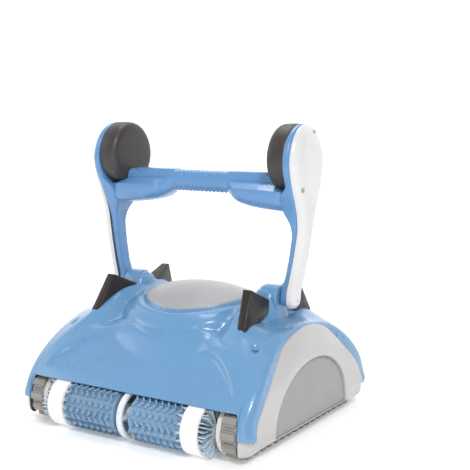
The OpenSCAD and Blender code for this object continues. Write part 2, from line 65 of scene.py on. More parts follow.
def joint_place(name):
    """Where a joint's axis lies, in millimetres."""
    for joint in frame["record"]["behaviour"]["joints"]:
        if joint["name"] == name:
            return np.array(joint["pos_m"]) / MM
    raise KeyError(name)


HALF_LENGTH = box_mm("top_shell")[1][1]
CROWN = 202.0  # top of the shell's middle arch
FOOT = 36.0  # bottom of the shell's four tips
LIP_Y, LIP_Z = 190.5, 71.5  # edge of the shell over a brush
CORNER_X, TIP_X = 176.0, 182.0  # between them the edge falls from over the brush to the tip
CAP_R = 87.5
RING_R = 120.8  # edge of the raised ring round the cap
SCREW_PLACE = (161.0, 113.0)  # shell screws, from the two middle planes
WHEEL = joint_place("wheel_front_right_spin")
BRUSH = joint_place("brush_front_right_spin")
PULLEY = joint_place("drive_pulley_right_spin")
PIVOT_Z = joint_place("handle_swing")[2]
BRUSH_R = np.ptp(box_mm("climbing_ring_front_right"), axis=0)[2] / 2
TRACK_LOW, TRACK_HIGH = box_mm("track_right")
HANDLE_TOP = box_mm("handle_frame")[1][2]

# ---- Mesh helpers ----


def link(obj):
    bpy.context.scene.collection.objects.link(obj)
    return obj


def shade(mesh, angle):
    """Smooth shading, with edges sharper than the angle kept crisp."""
    bm = bmesh.new()
    bm.from_mesh(mesh)
    bmesh.ops.remove_doubles(bm, verts=bm.verts, dist=1e-6)
    bmesh.ops.recalc_face_normals(bm, faces=bm.faces)
    for face in bm.faces:
        face.smooth = True
    limit = math.radians(angle)
    for edge in bm.edges:
        edge.smooth = len(edge.link_faces) == 2 and edge.calc_face_angle(0) < limit
    bm.to_mesh(mesh)
    bm.free()


class Soup:
    """Collects the faces of many small shapes into one piece."""

    def __init__(self):
        self.points = []
        self.faces = []

    def add(self, points, faces):
        start = len(self.points)
        self.points += [tuple(p) for p in points]
        self.faces += [tuple(i + start for i in f) for f in faces]

    def grid(self, rows, wrap_rows=False, wrap_columns=False):
        rows = np.asarray(rows, float)
        self.add(rows.reshape(-1, 3), grid_faces(rows.shape[0], rows.shape[1], wrap_rows, wrap_columns))

    def loft(self, rings, caps=True):
        """Joins closed rings of equal length, with a fan over each end."""
        rings = np.asarray(rings, float)
        count = rings.shape[1]
        self.grid(rings, wrap_columns=True)
        if caps:
            for ring in (rings[0], rings[-1]):
                fan = [(count, i, (i + 1) % count) for i in range(count)]
                self.add([*ring, ring.mean(0)], fan)

    def block(self, low, high, taper=0.0, place=None):
        """A box whose top is narrower by taper on each side; place maps its points."""
        (x0, y0, z0), (x1, y1, z1) = low, high
        t = taper
        points = [(x0, y0, z0), (x1, y0, z0), (x1, y1, z0), (x0, y1, z0),
                  (x0 + t, y0 + t, z1), (x1 - t, y0 + t, z1), (x1 - t, y1 - t, z1), (x0 + t, y1 - t, z1)]
        if place:
            points = [place(p) for p in points]
        self.add(points, [(0, 3, 2, 1), (4, 5, 6, 7), (0, 1, 5, 4),
                          (1, 2, 6, 5), (2, 3, 7, 6), (3, 0, 4, 7)])

    def piece(self, name, slot, body, angle):
        """Makes the collected faces, in millimetres, into a piece with the slot's material."""
        mesh = bpy.data.meshes.new(name)
        mesh.from_pydata([tuple(float(c) * MM for c in p) for p in self.points], [], self.faces)
        mesh.validate()
        shade(mesh, angle)
        obj = link(bpy.data.objects.new(name, mesh))
        obj.data.materials.append(M[slot])
        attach(obj, body)
        return obj


def grid_faces(rows, columns, wrap_rows=False, wrap_columns=False):
    faces = []
    for r in range(rows if wrap_rows else rows - 1):
        for c in range(columns if wrap_columns else columns - 1):
            r1, c1 = (r + 1) % rows, (c + 1) % columns
            faces.append((r * columns + c, r * columns + c1, r1 * columns + c1, r1 * columns + c))
    return faces


def turned(profile, centre, axis="x", steps=72, start=0.0, end=360.0):
    """Rings of a lathe shape: profile holds (along, radius) pairs, turned round an axis."""
    closed = end - start >= 360
    angles = np.radians(np.linspace(start, end, steps, endpoint=not closed))
    rings = []
    for along, radius in profile:
        ring = []
        for a in angles:
            across, up = radius * math.cos(a), radius * math.sin(a)
            step = (along, across, up) if axis == "x" else (across, up, along)
            ring.append(tuple(c + d for c, d in zip(centre, step)))
        rings.append(ring)
    return rings


def rounded(along0, along1, radius, edge, inner=0.0, steps=5):
    """Lathe profile of a disc or ring with rounded rims."""
    arc = [math.radians(90 * i / steps) for i in range(steps + 1)]
    out = [(along0, max(inner, 0.01))]
    out += [(along0 + edge * (1 - math.sin(a)), radius - edge * (1 - math.cos(a))) for a in reversed(arc)]
    out += [(along1 - edge * (1 - math.sin(a)), radius - edge * (1 - math.cos(a))) for a in arc]
    out.append((along1, max(inner, 0.01)))
    return out


def full_turn(count):
    """Evenly spaced angles round a circle."""
    return np.linspace(0, 2 * math.pi, count, endpoint=False)


def squared(wave, power):
    """A sine or cosine that turns a circle into a rounded square: a smaller power is squarer."""
    return np.sign(wave) * abs(wave) ** power


def soft_edge(obj, name, width, angle):
    """Rounds the edges that are sharper than the angle."""
    bevel = obj.modifiers.new(name, "BEVEL")
    bevel.width = width * MM
    bevel.segments = 2
    bevel.limit_method = "ANGLE"
    bevel.angle_limit = math.radians(angle)


def mirror_x(rings, side):
    rings = np.array(rings, float)
    rings[..., 0] *= side
    return rings


def lerp(a, b, t):
    return a + (b - a) * t


def smoothstep(low, high, x):
    t = np.clip((x - low) / (high - low), 0, 1)
    return t * t * (3 - 2 * t)


def soft_min(a, b, k):
    h = np.clip(0.5 + 0.5 * (b - a) / k, 0, 1)
    return b + (a - b) * h - k * h * (1 - h)


def soft_max(a, b, k):
    return -soft_min(-a, -b, k)


# ---- Materials ----

M = {}  # every material by its name


def new_material(name, colour, roughness, **sockets):
    material = bpy.data.materials.new(name)
    material.use_nodes = True
    shader = material.node_tree.nodes["Principled BSDF"]
    shader.inputs["Base Color"].default_value = (*colour, 1)
    shader.inputs["Roughness"].default_value = roughness
    for socket, value in sockets.items():
        shader.inputs[socket].default_value = value
    M[name] = material
    return material, material.node_tree, shader


def noise_node(tree, scale, detail=3.0, stretch=(1, 1, 1)):
    place = tree.nodes.new("ShaderNodeTexCoord")
    spread = tree.nodes.new("ShaderNodeMapping")
    spread.inputs["Scale"].default_value = stretch
    texture = tree.nodes.new("ShaderNodeTexNoise")
    texture.inputs["Scale"].default_value = scale
    texture.inputs["Detail"].default_value = detail
    tree.links.new(place.outputs["Object"], spread.inputs["Vector"])
    tree.links.new(spread.outputs["Vector"], texture.inputs["Vector"])
    return texture


def ramp_node(tree, source, low, high, at=(0.35, 0.65)):
    ramp = tree.nodes.new("ShaderNodeValToRGB")
    ramp.color_ramp.elements[0].position, ramp.color_ramp.elements[1].position = at
    ramp.color_ramp.elements[0].color = (*low, 1)
    ramp.color_ramp.elements[1].color = (*high, 1)
    tree.links.new(source, ramp.inputs["Fac"])
    return ramp


def moulded(name, colour, roughness=0.35, shift=0.05, grain=900.0, depth=0.02, coat=0.0, **sockets):
    """Moulded plastic or rubber: a slow shift of tone, uneven gloss and a fine grain."""
    material, tree, shader = new_material(name, colour, roughness, **sockets)
    if coat:
        shader.inputs["Coat Weight"].default_value = coat
        shader.inputs["Coat Roughness"].default_value = 0.08
    tone = noise_node(tree, 14.0)
    low = [c * (1 - shift) for c in colour]
    high = [min(1.0, c * (1 + shift)) for c in colour]
    mix = ramp_node(tree, tone.outputs["Fac"], low, high)
    tree.links.new(mix.outputs["Color"], shader.inputs["Base Color"])
    gloss = noise_node(tree, 60.0)
    spread = ramp_node(tree, gloss.outputs["Fac"], [roughness * 0.88] * 3, [min(1, roughness * 1.12)] * 3)
    tree.links.new(spread.outputs["Color"], shader.inputs["Roughness"])
    if not depth:
        return material
    fine = noise_node(tree, grain, 2.0)
    bump = tree.nodes.new("ShaderNodeBump")
    bump.inputs["Strength"].default_value = depth
    bump.inputs["Distance"].default_value = 0.0004
    tree.links.new(fine.outputs["Fac"], bump.inputs["Height"])
    tree.links.new(bump.outputs["Normal"], shader.inputs["Normal"])
    return material


def metal(name, colour, roughness=0.3):
    material = moulded(name, colour, roughness, 0.04, 500.0, 0.05)
    material.node_tree.nodes["Principled BSDF"].inputs["Metallic"].default_value = 1.0
    return material


def cloth(name, colour):
    """Woven filter cloth: crossed threads from two wave textures."""
    material, tree, shader = new_material(name, colour, 0.9)
    shader.inputs["Sheen Weight"].default_value = 0.3
    place = tree.nodes.new("ShaderNodeTexCoord")
    total = tree.nodes.new("ShaderNodeMath")
    total.operation = "ADD"
    for i, direction in enumerate(("X", "Y")):
        wave = tree.nodes.new("ShaderNodeTexWave")
        wave.bands_direction = direction
        wave.inputs["Scale"].default_value = 260.0
        wave.inputs["Distortion"].default_value = 0.4
        tree.links.new(place.outputs["Object"], wave.inputs["Vector"])
        tree.links.new(wave.outputs["Fac"], total.inputs[i])
    bump = tree.nodes.new("ShaderNodeBump")
    bump.inputs["Strength"].default_value = 0.35
    bump.inputs["Distance"].default_value = 0.0005
    tree.links.new(total.outputs[0], bump.inputs["Height"])
    tree.links.new(bump.outputs["Normal"], shader.inputs["Normal"])
    shadow = [c * 0.82 for c in colour]
    mix = ramp_node(tree, total.outputs[0], shadow, colour, (0.3, 1.0))
    tree.links.new(mix.outputs["Color"], shader.inputs["Base Color"])
    return material


moulded("shell_blue", (0.14, 0.315, 0.545), 0.30, 0.02, coat=0.4, depth=0)
moulded("handle_blue", (0.115, 0.285, 0.55), 0.30, 0.02, coat=0.4, depth=0)
moulded("panel_grey", (0.53, 0.52, 0.515), 0.34, 0.02, coat=0.3, depth=0)
moulded("inset_grey", (0.335, 0.328, 0.322), 0.46, 0.03, 1200, 0.02, 0.1)
moulded("cap_grey", (0.40, 0.40, 0.41), 0.38, 0.03, 1000, 0.03, 0.1)
moulded("fin_dark", (0.026, 0.022, 0.020), 0.42, 0.12, 700, 0.02, 0.05,
        **{"Specular IOR Level": 0.35})
moulded("float_dark", (0.045, 0.040, 0.038), 0.42, 0.08, 600, 0.06)
moulded("cover_white", (0.70, 0.70, 0.71), 0.22, 0.015, coat=0.5, depth=0)
moulded("track_rubber", (0.30, 0.285, 0.275), 0.62, 0.10, 420, 0.12)
moulded("brush_blue", (0.205, 0.345, 0.50), 0.36, 0.10, 500, 0.04, 0.1,
        **{"Subsurface Weight": 0.08})
moulded("ring_white", (0.90, 0.90, 0.90), 0.75, 0.02, 380, 0.10)
moulded("core_white", (0.62, 0.74, 0.84), 0.25, 0.03, 900, 0.01, 0.3,
        **{"Transmission Weight": 0.25, "IOR": 1.45})
moulded("bracket_white", (0.76, 0.79, 0.83), 0.25, 0.02, 900, 0.01, 0.3)
moulded("wheel_white", (0.74, 0.71, 0.65), 0.40, 0.05, 900, 0.02)
moulded("chassis_grey", (0.30, 0.31, 0.32), 0.45, 0.04, 900, 0.03)
moulded("lid_grey", (0.42, 0.43, 0.44), 0.45, 0.05, 900, 0.03)
moulded("frame_white", (0.78, 0.78, 0.76), 0.40, 0.03, 900, 0.02)
moulded("grille_blue", (0.08, 0.20, 0.45), 0.38, 0.04, 900, 0.02)
moulded("motor_grey", (0.03, 0.033, 0.036), 0.45, 0.08, 900, 0.03)
moulded("impeller_dark", (0.02, 0.02, 0.022), 0.35, 0.08, 900, 0.02)
moulded("seal_rubber", (0.015, 0.015, 0.015), 0.6, 0.1, 600, 0.04)
moulded("gland_rubber", (0.022, 0.022, 0.024), 0.55, 0.1, 600, 0.05)
moulded("button_dark", (0.025, 0.025, 0.028), 0.5, 0.1, 600, 0.05)
moulded("flap_rubber", (0.035, 0.035, 0.035), 0.6, 0.1, 500, 0.06)
moulded("board_green", (0.015, 0.11, 0.04), 0.30, 0.1, 700, 0.02, 0.4)
metal("steel", (0.34, 0.35, 0.36), 0.34)
metal("motor_steel", (0.52, 0.53, 0.54), 0.38)
cloth("bag_fabric", (0.74, 0.75, 0.71))

# ---- Form of the shell ----
# a and b are the distances of a point from the two middle planes: a along X, b along Y.

ARCH_BOW, ARCH_END, ARCH_FALL = 0.0038, 150.0, 1.08  # bows as far as its end, then falls
FLANK_X, FLANK_RISE = 190, 122.0
SHOULDER_X, SHOULDER_Z, SHOULDER_FALL = 100, 205, 1.15
STEEP_X, STEEP_FALL = 132, 1.85  # the shoulder falls faster from here
SEAT_DEPTH, CROWN_DROP = 4.5, 1.4  # under the cap, and over the whole crown
GROOVE_R, GROOVE_WIDTH, GROOVE_DEPTH = 90.8, 2.6, 4.2  # round the cap
SWELL_R, SWELL_WIDTH, SWELL_RISE = 95, 27, 3.4  # between the groove and the ring's edge
RING_STEP, CREASE_DEPTH = 3.8, 2.0  # at the ring's edge
BAND_WIDTH, VISOR_DEPTH = 26, 7.6  # the band runs down from the ring
VISOR_MIDDLE, VISOR_BEND, VISOR_NEAR, VISOR_CORNER = 146, 78, 130, 190
VISOR_POWER, VISOR_FADE = 2.14, (150, 183)
VALLEY_A, VALLEY_B, VALLEY_SLANT, VALLEY_DEPTH = 81.5, 83.5, 0.817, 8.0
VALLEY_SCALE = 1.291  # length of the slanted unit step
VALLEY_OUTER, VALLEY_INNER = 23.4, 22  # its width towards the fin and away from it
CHEEK_BOW, CHEEK_END = 0.002, 88.0  # the crown falls away to the sides


def crown_height(b):
    """Height of the middle arch at the distance b from the middle plane."""
    return CROWN - ARCH_BOW * np.minimum(b, ARCH_END) ** 2 - ARCH_FALL * np.maximum(0, b - ARCH_END)


def flank_profile(b):
    """Height of the flank where it turns over to the side panel."""
    t = np.clip(1 - (b / HALF_LENGTH) ** 1.7, 0, 1)
    return FOOT + FLANK_RISE * t ** 0.55 - 6.0 * np.maximum(0, b - HALF_LENGTH)


def visor_edge(a):
    """Distance from the middle plane at which the sunk front face begins."""
    beyond = np.maximum(a - VISOR_BEND, 0) / (CORNER_X - VISOR_BEND)
    return np.where(a < VISOR_BEND, VISOR_MIDDLE - (VISOR_MIDDLE - VISOR_NEAR) * (a / VISOR_BEND) ** 2,
                    VISOR_NEAR + (VISOR_CORNER - VISOR_NEAR) * beyond ** VISOR_POWER)


def ring_relief(a, b, radius):
    """The cap's seat and groove, the swell round them and the step down at the ring's edge."""
    facing = 1 - smoothstep(74, 100, a)
    groove = -GROOVE_DEPTH * np.exp(-((radius - GROOVE_R) / GROOVE_WIDTH) ** 2)
    groove = groove - SEAT_DEPTH * (1 - smoothstep(84, 88, radius))
    groove = groove - CROWN_DROP * (1 - smoothstep(130, 172, b))
    swell = SWELL_RISE * np.sin(np.pi * np.clip((radius - SWELL_R) / SWELL_WIDTH, 0, 1)) * facing
    step = RING_STEP * (1 - smoothstep(RING_R - 1.6, RING_R + 1.4, radius)) * facing
    step = step - CREASE_DEPTH * np.exp(-((radius - RING_R - 3.0) / 2.0) ** 2) * facing
    return groove + swell + step


def valley_relief(a, b, radius):
    """The valley that runs slantwise down the crown beside a fin, 1 at its bottom."""
    across = (a - VALLEY_A - VALLEY_SLANT * (b - VALLEY_B)) / VALLEY_SCALE
    slope = np.where(across > 0, 1 - across / VALLEY_OUTER, 1 + across / VALLEY_INNER)
    valley = soft_max(slope, np.zeros_like(slope), 0.12) * smoothstep(RING_R - 4, RING_R + 5, radius)
    return valley * (1 - smoothstep(112, 131, b)) * smoothstep(40, 62, a)


def crown_detail(a, b):
    """Ring round the cap, band below it, sunk front face and the valleys beside the fins."""
    radius = np.hypot(a, b)
    fade = 1 - smoothstep(*VISOR_FADE, b)
    sunk = smoothstep(-0.8, 3.2, b - visor_edge(a)) * fade
    band = np.clip((radius - RING_R) / BAND_WIDTH, 0, 1) * (1 - smoothstep(72, 98, a)) * fade
    fall = CHEEK_BOW * np.minimum(a, CHEEK_END) ** 2
    fall = fall * (1 - smoothstep(92, 116, a)) * (1 - smoothstep(70, 130, b))
    sunken = VISOR_DEPTH * np.maximum(sunk, band) + VALLEY_DEPTH * valley_relief(a, b, radius) + fall
    return ring_relief(a, b, radius) - sunken


def shell_height(a, b):
    """Height of the shell over a point."""
    spread = lerp(0.10, 0.46, smoothstep(25, 95, b)) + 0.001 * np.maximum(0, b - 174) ** 2
    flank = flank_profile(b) + spread * (FLANK_X - a) - dimple(a, b)
    shoulder = SHOULDER_Z - SHOULDER_FALL * (a - SHOULDER_X) - STEEP_FALL * np.maximum(0, a - STEEP_X)
    crown = crown_height(b) + crown_detail(a, b)
    return soft_min(crown, soft_max(shoulder, flank, 7.0), 3.0)


def dimple(a, b):
    """Sunk seat of a shell screw."""
    away = np.hypot(a - SCREW_PLACE[0], b - SCREW_PLACE[1])
    return 2.6 * (1 - smoothstep(5.2, 6.8, away))


def shell_radius(a, angle):
    """Distance from the X axis to the shell along a ray raised by angle."""
    low = np.full(np.broadcast(a, angle).shape, 30.0)
    high = np.full(low.shape, 260.0)
    for _ in range(34):
        mid = (low + high) / 2
        outside = mid * np.sin(angle) > shell_height(np.abs(a), np.abs(mid * np.cos(angle)))
        low, high = np.where(outside, low, mid), np.where(outside, mid, high)
    return (low + high) / 2


LIP_ANGLE = math.atan2(LIP_Z, LIP_Y)
TIP_ANGLE = math.atan2(FOOT, HALF_LENGTH - 1)


def first_angle(a):
    """Angle at which the shell begins: over the brush opening, or at the tip's bottom."""
    inside = np.clip((a - CORNER_X) / (TIP_X - CORNER_X), 0, 1)
    return lerp(LIP_ANGLE, TIP_ANGLE, 1 - np.sqrt(1 - inside ** 2))


def border_x(angle):
    """Where the seam between shell and side panel lies in X, from the foot to the top."""
    return lerp(195.5, 180.5, smoothstep(math.radians(22), math.radians(74), angle))


def border_drop(angle):
    """How far the seam lies inside the flank's own outline."""
    degrees = np.degrees(angle)
    return 3.0 + 20.0 * (1 - smoothstep(34, 82, degrees)) - 3.0 * (1 - smoothstep(10, 26, degrees))


def turn_radius(angle):
    """Radius of the turn over to the side: tighter towards the top."""
    return lerp(14.0, 8.0, smoothstep(math.radians(12), math.radians(50), angle))


EDGE_STEPS = 9  # points across the turn over to the side
TIP_COLUMNS = 6  # columns between the tip's end and the turn


def turn_start(angle):
    """Where the flank begins to turn over to the side."""
    return border_x(angle) - 0.6 * turn_radius(angle)


def side_turn(edge_x, edge_r, edge_angle):
    """The turn over to the side panel: rows of (x, distance from the X axis) down to the seam."""
    inner = shell_radius(edge_x - 2, edge_angle)
    lean = np.arctan2(inner - edge_r, 2.0)
    rho = turn_radius(edge_angle)
    seam_r = edge_r - border_drop(edge_angle)
    fallen = np.clip(np.cos(lean) - (edge_r - seam_r) / rho, math.cos(math.radians(86)), 1)
    turn_end = np.arccos(fallen)
    rows = []
    for t in np.linspace(0, 1, EDGE_STEPS)[1:]:
        phi = lean + (turn_end - lean) * t
        rows.append((edge_x + rho * (np.sin(phi) - np.sin(lean)),
                     edge_r - rho * (np.cos(lean) - np.cos(phi))))
    last_x, last_r = rows[-1]
    for t in (0.35, 0.7, 1.0):
        rows.append((last_x + 0.6 * t, lerp(last_r, np.minimum(seam_r, last_r), t)))
    return rows


def shell_rows(rows=108, columns=96):
    """The quarter of the shell at the front right, from its foot to its top, and its seam."""
    u = np.linspace(0, 1, columns)
    v = np.linspace(0, 1, rows)[:, None]
    start = first_angle(u * TIP_X)[None, :]
    angle = start + v * (math.pi / 2 - start)
    x = u[None, :] * np.minimum(turn_start(angle) - 4, TIP_X)
    last_angle = angle[:, -1:]
    x_more = lerp(x[:, -1:], turn_start(last_angle), np.linspace(0, 1, TIP_COLUMNS)[None, 1:])
    x = np.concatenate([x, x_more], 1)
    angle = np.concatenate([angle, np.repeat(last_angle, TIP_COLUMNS - 1, 1)], 1)
    radius = shell_radius(x, angle)
    flat = np.stack([x, -radius * np.cos(angle), radius * np.sin(angle)], -1)
    edge_angle = angle[:, -1]
    side = [np.stack([px, -pr * np.cos(edge_angle), pr * np.sin(edge_angle)], -1)
            for px, pr in side_turn(x[:, -1], radius[:, -1], edge_angle)]
    return np.concatenate([flat, np.stack(side, 1)], 1)


QUARTER = shell_rows()
SEAM = QUARTER[:, -1]


def whole_shell():
    """The quarter mirrored to all four corners, as one grid."""
    half = np.concatenate([QUARTER[:, :0:-1] * (-1, 1, 1), QUARTER], 1)
    return np.concatenate([half, half[-2::-1] * (1, -1, 1)], 0)


def add_shell():
    soup = Soup()
    soup.grid(whole_shell())
    obj = soup.piece("shell_cover", "shell_blue", "body", 30)
    thick = obj.modifiers.new("wall", "SOLIDIFY")
    thick.thickness = 2.6 * MM
    thick.offset = -1
    soft_edge(obj, "rim", 0.9, 60)
    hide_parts("top_shell")


def surface(x, y):
    """Height of the shell at x, y."""
    return float(shell_height(np.array(abs(float(x))), np.array(abs(float(y)))))


BOSS_X, BOSS_R = 128, 19.6
SADDLE_X, SADDLE_HALF_X, SADDLE_HALF_Y = 119, 17, 22
SADDLE_RINGS = ((150, 12), (172, 8), (184, 4.5), (192, 1.5), (199, -1), (203, -4), (204.6, -8))  # z, growth


def add_bosses():
    """Pivot bosses, each on a saddle: a rounded block that grows out of the shell."""
    for name, side in SIDES.items():
        soup = Soup()
        for profile in (rounded(-15.2, 12.3, BOSS_R, 2.2), rounded(-22, -3, BOSS_R - 2.4, 5)):
            soup.loft(mirror_x(turned(profile, (BOSS_X, 0, PIVOT_Z)), side), caps=False)
        rings = []
        for z, grow in SADDLE_RINGS:
            half_x, half_y = SADDLE_HALF_X + grow * 0.6, SADDLE_HALF_Y + grow
            rings.append([(SADDLE_X + half_x * squared(math.cos(a), 0.6),
                           half_y * squared(math.sin(a), 0.6), z) for a in full_turn(40)])
        soup.loft(mirror_x(rings, side))
        soup.piece(f"pivot_boss_{name}", "shell_blue", "body", 50)


# ---- Cap ----

CAP_RISE, CAP_RIM, CAP_SKIRT = 2.8, 3, 3.0  # over the crown, its rolled rim, and below the crown


def dome(x, y):
    """Height of the crown's smooth form under the cap."""
    return float(crown_height(abs(y))) - 0.002 * x * x


def add_cap():
    """The cap follows the crown; its rim rolls over into a short skirt."""
    roll = np.linspace(0.2, 1.57, 7)
    stations = [(radius, 0) for radius in np.linspace(0.5, CAP_R - CAP_RIM, 26)]
    stations += [(CAP_R - CAP_RIM + CAP_RIM * math.sin(a), CAP_RIM * (1 - math.cos(a))) for a in roll]
    rings = []
    for radius, drop in stations:
        places = [(radius * math.cos(a), radius * math.sin(a)) for a in full_turn(120)]
        rings.append([(x, y, dome(x, y) + CAP_RISE - drop) for x, y in places])
    rings.append([(x, y, dome(x, y) - CAP_SKIRT) for x, y, _ in rings[-1]])
    soup = Soup()
    soup.loft(rings, caps=False)
    soup.add(rings[0], [tuple(range(len(rings[0])))])
    obj = soup.piece("cap_dome", "cap_grey", "body", 40)
    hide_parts("outlet_cap")


# ---- Side panels ----

PANEL_LOW, PANEL_FACE = 17.0, 197.0  # its bottom in Z, its outer face in X
PANEL_RISE = 0.3  # how far its skin stands out round the edge
INSET_HALF, INSET_LOW, INSET_TOP = 115.0, 19.0, 110.0
INSET_SPRING = 24  # height at which the recess's arch begins
INSET_FACE = 193.6  # the recessed plate's face in X
ARCH_COUNT, BASE_COUNT = 120, 40  # points round the arch and along the bottom
FOOT_CENTRE = np.array((176.0, -168.0, 0))
FOOT_ROUTE = ((194.5, -150), (196, -163), (196.3, -172), (194.5, -181),
              (190.5, -187.5), (186, -191), (182.3, -192))
FOOT_RINGS = ((FOOT + 4, 0.93), (FOOT - 0.3, 0.96), (FOOT - 1.0, 0.99), (FOOT - 3, 1.0), (29, 1.0),
              (22, 0.985), (17, 0.94), (13.5, 0.86), (11.6, 0.74), (10.8, 0.5))  # z, scale
RIM_SECTION = ((194.6, 20.5), (194.2, 17.5), (192.8, 14.6), (190.0, 12.3),
               (186.5, 11.0), (183.0, 10.8), (181.6, 11.8), (181.4, 17.0))  # x, z


def resample(points, count):
    """The same path with evenly spaced points."""
    points = np.asarray(points, float)
    steps = np.linalg.norm(np.diff(points, axis=0), axis=1)
    reach = np.concatenate([[0], np.cumsum(steps)])
    at = np.linspace(0, reach[-1], count)
    return np.stack([np.interp(at, reach, points[:, k]) for k in range(3)], 1)


def panel_outline():
    """The panel's edge: along the shell's seam, then back along the bottom."""
    seam = np.concatenate([SEAM, SEAM[-2::-1] * (1, -1, 1)], 0)
    low_front = np.array([(192.0, -154.0, PANEL_LOW), (193.0, -166.0, 20.5), (194.0, -176.0, 27.0)])
    low_rear = low_front[::-1] * (1, -1, 1)
    arch = resample(np.concatenate([low_front, seam, low_rear]), ARCH_COUNT)
    base = resample([low_rear[-1], (193, 0, PANEL_LOW), low_front[0]], BASE_COUNT)
    return np.concatenate([arch, base[1:-1]])


def inset_outline(grow=0.0):
    """The half-round recess in the panel."""
    half, rise, low = INSET_HALF + grow, INSET_TOP - INSET_SPRING + grow, INSET_LOW - grow
    arch = [(0, half * math.cos(t), INSET_SPRING + rise * math.sin(t)) for t in np.linspace(math.pi, 0, 80)]
    arch = [(0, -half, low)] + arch + [(0, half, low)]
    base = resample([arch[-1], arch[0]], BASE_COUNT)
    return np.concatenate([resample(arch, ARCH_COUNT), base[1:-1]])


def panel_x(edge_x, inward):
    """Swell of the panel: inward runs from 0 at its edge to 1 at the recess."""
    return edge_x + (PANEL_FACE - edge_x) * (1 - (1 - inward) ** 2)


def recess_depth(outline, least):
    """Depth of the recess along its outline: more towards its top."""
    return least + 2.0 * (outline[:, 2] - INSET_LOW) / (INSET_TOP - INSET_LOW)


def panel_rings():
    """Rings of the panel's skin: over its edge, across its face and down into the recess."""
    outer, inner = panel_outline(), inset_outline()

    def ring_at(t, inward, rise):
        ring = lerp(outer, inner, t)
        ring[:, 0] = panel_x(outer[:, 0], inward) + rise
        return ring

    edge = ((0.0, -3.4), (0.0, -1.1), (0.012, -0.2), (0.035, 0.25), (0.07, PANEL_RISE))
    wall = ((1.0, 0.5), (1.002, 1.6), (1.004, recess_depth(inner, 3.6)))
    rings = [ring_at(t, t, rise) for t, rise in edge]
    rings += [ring_at(t, t, PANEL_RISE) for t in np.linspace(0.12, 0.985, 16)]
    return rings + [ring_at(t, 1.0, -depth) for t, depth in wall]


def panel_foot():
    """The panel's corner, wrapped round below the shell's tip to the brush opening."""
    route = resample([(x, y, 0) for x, y in FOOT_ROUTE], 26)
    rings = []
    for z, scale in FOOT_RINGS:
        ring = FOOT_CENTRE + (route - FOOT_CENTRE) * (scale, scale, 1)
        ring[:, 2] = z
        rings.append(ring)
    return rings


def panel_rim():
    """The panel's lower rim, turned in below the side towards the track."""
    rows = []
    for y in np.linspace(-168, 168, 60):
        inward = 0.6 * (1 - smoothstep(120, 165, abs(y))) - 0.28 * smoothstep(130, 168, abs(y))
        rows.append([(x - inward, y, z) for x, z in RIM_SECTION])
    return rows


def add_panel(name, side):
    soup = Soup()
    soup.grid(mirror_x(panel_rings(), side), wrap_columns=True)
    for end in (1, -1):
        soup.grid(np.array(panel_foot()) * (side, end, 1))
    soup.grid(mirror_x(panel_rim(), side))
    obj = soup.piece(f"panel_skin_{name}", "panel_grey", "body", 35)
    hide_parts(f"side_panel_{name}")


def add_inset(name, side):
    """The plate in the recess: sunk at its rim, flat in the middle."""
    outline = inset_outline(-0.15)
    rim_x = panel_x(panel_outline()[:, 0], 1.0) - recess_depth(outline, 2.2)
    rings = []
    for t in np.concatenate([[0.0], np.linspace(0.02, 0.98, 14)]):
        ring = lerp(outline, np.array((0, 0, 40.0)), t)
        ring[:, 0] = lerp(rim_x, INSET_FACE, smoothstep(0, 0.9, t)) - (0.8 if t == 0 else 0)
        rings.append(ring)
    rings = mirror_x(rings, side)
    soup = Soup()
    soup.loft(rings, caps=False)
    soup.add(rings[-1], [tuple(range(len(rings[-1])))])
    obj = soup.piece(f"inset_skin_{name}", "inset_grey", "body", 35)
    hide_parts(f"side_inset_{name}")


# ---- Fins ----

FIN_FOOT = np.array((131.5, -103.0, 160.0))
FIN_APEX, FIN_APEX_BACK = np.array((122.8, -73.5, 212.6)), np.array((122.8, -70.5, 212.4))
FIN_TAIL = np.array((119.5, -24, 193.0))
FIN_ROOT = 16  # how far it reaches down into the shell
FIN_OUTLINE = ((0.0, 0.55), (0.015, 0.85), (0.05, 1.0), (0.3, 1.0),
               (0.6, 1.0), (0.9, 1.0), (0.98, 0.9), (1.0, 0.7))  # along it, part of its full width


def add_fins():
    """Each fin: a blunt ridge that leans back from its foot to a flat apex, widening to its tail."""
    for end, side in CORNERS:
        rings = []
        for t in np.linspace(0, 1, 11):
            front, back = lerp(FIN_FOOT, FIN_APEX, t), lerp(FIN_TAIL, FIN_APEX_BACK, t ** 0.9)
            nose, wide = lerp(6.8, 6.3, t), lerp(15.0, 6.5, t ** 0.8)
            right = [lerp(front, back, along) + (lerp(nose, wide, along) * part, 0, 0)
                     for along, part in FIN_OUTLINE]
            left = [lerp(front, back, along) - (lerp(nose, wide, along) * part, 0, 0)
                    for along, part in FIN_OUTLINE]
            rings.append(right + left[::-1])
        rings = np.array([rings[0]] + rings) * (SIDES[side], -ENDS[end], 1)
        rings[0, :, 2] -= FIN_ROOT
        soup = Soup()
        soup.loft(rings)
        obj = soup.piece(f"fin_blade_{end}_{side}", "fin_dark", "body", 42)
        soft_edge(obj, "edge", 0.8, 35)
        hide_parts(f"fin_{end}_{side}")


# ---- Tracks ----

LUG_PITCH = 19.5
LUG_HEIGHT = 4.0
BAND_OUT = WHEEL[2] - LUG_HEIGHT  # radius of the band's face round a wheel
PULLEY_OUT = 18.7 + 3.6  # round the pulley: its radius and the band


